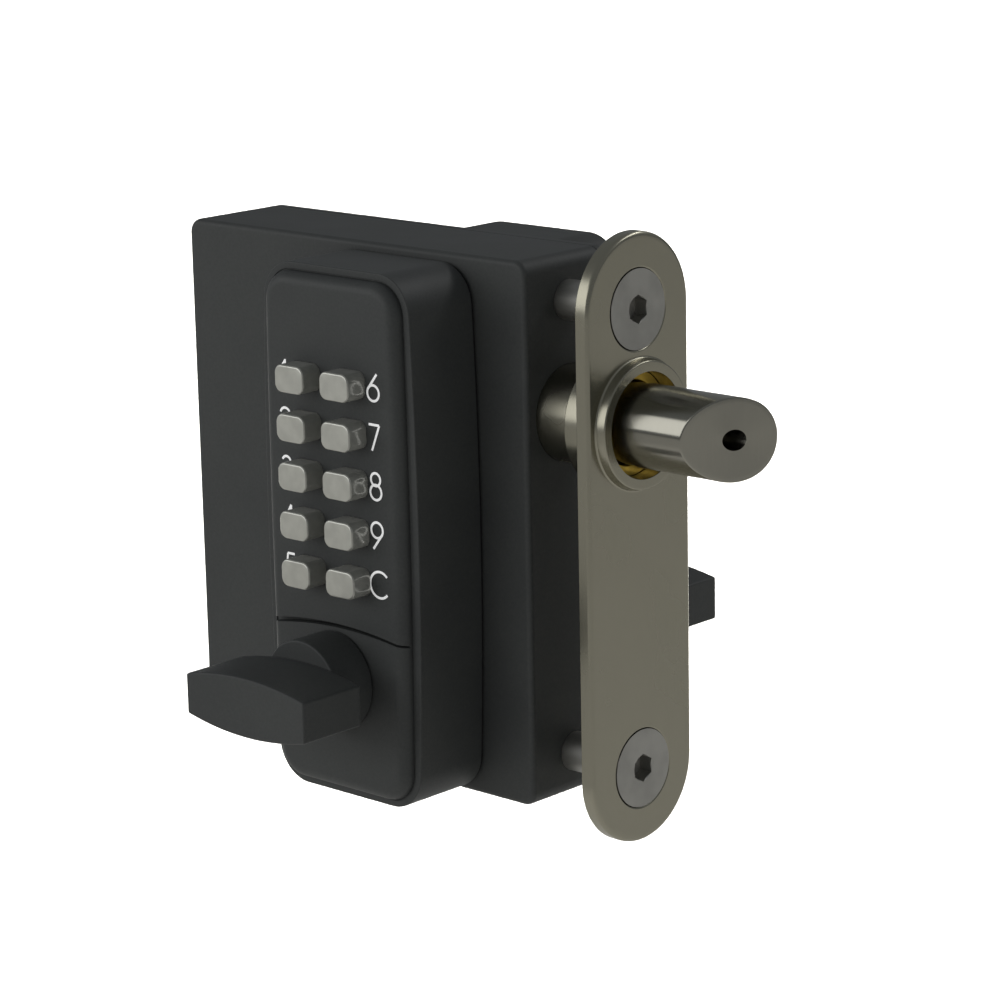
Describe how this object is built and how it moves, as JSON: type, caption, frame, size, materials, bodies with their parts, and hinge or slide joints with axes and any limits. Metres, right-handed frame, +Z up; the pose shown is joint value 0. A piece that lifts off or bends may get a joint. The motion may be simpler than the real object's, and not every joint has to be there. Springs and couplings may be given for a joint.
{
  "type": "keypad gate lock",
  "caption": "Gate lock with a flat case behind the gate frame's edge, a push-button code unit in front, a plain unit behind, a turning knob on each and a sprung round bolt.",
  "frame": {"origin": "centre of the forend plate's back face, midway between its two screws, where the plate lies on the outer edge of the gate frame", "axes": "+X out of the gate along the bolt, +Y from the keypad side to the back of the gate, +Z up"},
  "size_m": [0.1404, 0.1203, 0.122],
  "materials": {
    "charcoal_coat": "satin charcoal powder coat",
    "satin_stainless": "satin stainless steel, worn olive-grey",
    "bolt_steel": "ground stainless steel bar",
    "screw_steel": "bead-blasted stainless steel",
    "button_metal": "satin nickel plate",
    "brass": "turned brass",
    "zinc_plate": "zinc-plated steel",
    "spring_steel": "bright spring wire",
    "gasket_rubber": "moulded black rubber"
  },
  "bodies": {
    "lock": {"lock_case": "charcoal_coat", "case_cover": "charcoal_coat", "cover_screws": "screw_steel", "guide_tube": "satin_stainless", "bolt_bush": "brass", "forend_plate": "satin_stainless", "forend_screws": "screw_steel", "front_bush": "brass", "rear_bush": "brass", "spring_rod": "zinc_plate", "bolt_spring": "spring_steel", "keypad_gasket": "gasket_rubber", "keypad_plate": "zinc_plate", "keypad_housing": "charcoal_coat", "code_chamber": "zinc_plate", "chamber_screws": "screw_steel", "slide_spring": "spring_steel", "button_springs": "spring_steel", "rear_gasket": "gasket_rubber", "rear_plate": "zinc_plate", "rear_housing": "charcoal_coat", "through_bolts": "screw_steel"},
    "bolt_unit": {"bolt": "bolt_steel", "bolt_carriage": "zinc_plate", "carriage_pin": "spring_steel"},
    "rear_drive": {"rear_knob": "charcoal_coat", "rear_circlip": "spring_steel", "rear_spindle": "zinc_plate", "follower": "zinc_plate", "drive_pin": "spring_steel", "drive_roller": "brass", "front_spindle": "zinc_plate", "clutch_hub": "brass"},
    "front_turn": {"front_knob": "charcoal_coat", "front_circlip": "spring_steel", "knob_driver": "zinc_plate", "clutch_ball": "bolt_steel"},
    "code_slider": {"code_slide": "zinc_plate"},
    "key_1": {"button_1": "button_metal"},
    "key_2": {"button_2": "button_metal"},
    "key_3": {"button_3": "button_metal"},
    "key_4": {"button_4": "button_metal"},
    "key_5": {"button_5": "button_metal"},
    "key_6": {"button_6": "button_metal"},
    "key_7": {"button_7": "button_metal"},
    "key_8": {"button_8": "button_metal"},
    "key_9": {"button_9": "button_metal"},
    "key_c": {"button_c": "button_metal"}
  },
  "joints": [
    {"name": "rear_knob_turn", "type": "hinge", "parent": "lock", "child": "rear_drive", "pos_m": [-0.0482, 0, -0.0295], "axis": [0, -1, 0], "range_deg": [0, 72.4], "stiffness_Nm_per_rad": 0.17, "springref_deg": -27.85},
    {"name": "bolt_slide", "type": "slide", "parent": "lock", "child": "bolt_unit", "axis": [-1, 0, 0], "range_m": [0, 0.026], "deforming": ["bolt_spring"]},
    {"name": "front_knob_turn", "type": "hinge", "parent": "lock", "child": "front_turn", "pos_m": [-0.0482, 0, -0.0295], "axis": [0, -1, 0], "range_deg": [0, 72.4]},
    {"name": "code_slide_drop", "type": "slide", "parent": "lock", "child": "code_slider", "axis": [0, 0, -1], "range_m": [0, 0.003], "stiffness_N_per_m": 600, "springref_m": -0.003, "deforming": ["slide_spring"]},
    {"name": "button_1_press", "type": "slide", "parent": "lock", "child": "key_1", "axis": [0, 1, 0], "range_m": [0, 0.0025], "stiffness_N_per_m": 300, "springref_m": -0.002, "deforming": ["button_springs"]},
    {"name": "button_2_press", "type": "slide", "parent": "lock", "child": "key_2", "axis": [0, 1, 0], "range_m": [0, 0.0025], "stiffness_N_per_m": 300, "springref_m": -0.002, "deforming": ["button_springs"]},
    {"name": "button_3_press", "type": "slide", "parent": "lock", "child": "key_3", "axis": [0, 1, 0], "range_m": [0, 0.0025], "stiffness_N_per_m": 300, "springref_m": -0.002, "deforming": ["button_springs"]},
    {"name": "button_4_press", "type": "slide", "parent": "lock", "child": "key_4", "axis": [0, 1, 0], "range_m": [0, 0.0025], "stiffness_N_per_m": 300, "springref_m": -0.002, "deforming": ["button_springs"]},
    {"name": "button_5_press", "type": "slide", "parent": "lock", "child": "key_5", "axis": [0, 1, 0], "range_m": [0, 0.0025], "stiffness_N_per_m": 300, "springref_m": -0.002, "deforming": ["button_springs"]},
    {"name": "button_6_press", "type": "slide", "parent": "lock", "child": "key_6", "axis": [0, 1, 0], "range_m": [0, 0.0025], "stiffness_N_per_m": 300, "springref_m": -0.002, "deforming": ["button_springs"]},
    {"name": "button_7_press", "type": "slide", "parent": "lock", "child": "key_7", "axis": [0, 1, 0], "range_m": [0, 0.0025], "stiffness_N_per_m": 300, "springref_m": -0.002, "deforming": ["button_springs"]},
    {"name": "button_8_press", "type": "slide", "parent": "lock", "child": "key_8", "axis": [0, 1, 0], "range_m": [0, 0.0025], "stiffness_N_per_m": 300, "springref_m": -0.002, "deforming": ["button_springs"]},
    {"name": "button_9_press", "type": "slide", "parent": "lock", "child": "key_9", "axis": [0, 1, 0], "range_m": [0, 0.0025], "stiffness_N_per_m": 300, "springref_m": -0.002, "deforming": ["button_springs"]},
    {"name": "button_c_press", "type": "slide", "parent": "lock", "child": "key_c", "axis": [0, 1, 0], "range_m": [0, 0.0025], "stiffness_N_per_m": 300, "springref_m": -0.002, "deforming": ["button_springs"]}
  ],
  "couplings": [
    {"joint": "bolt_slide", "follows": "rear_knob_turn", "m_per_rad": 0.02057}
  ]
}
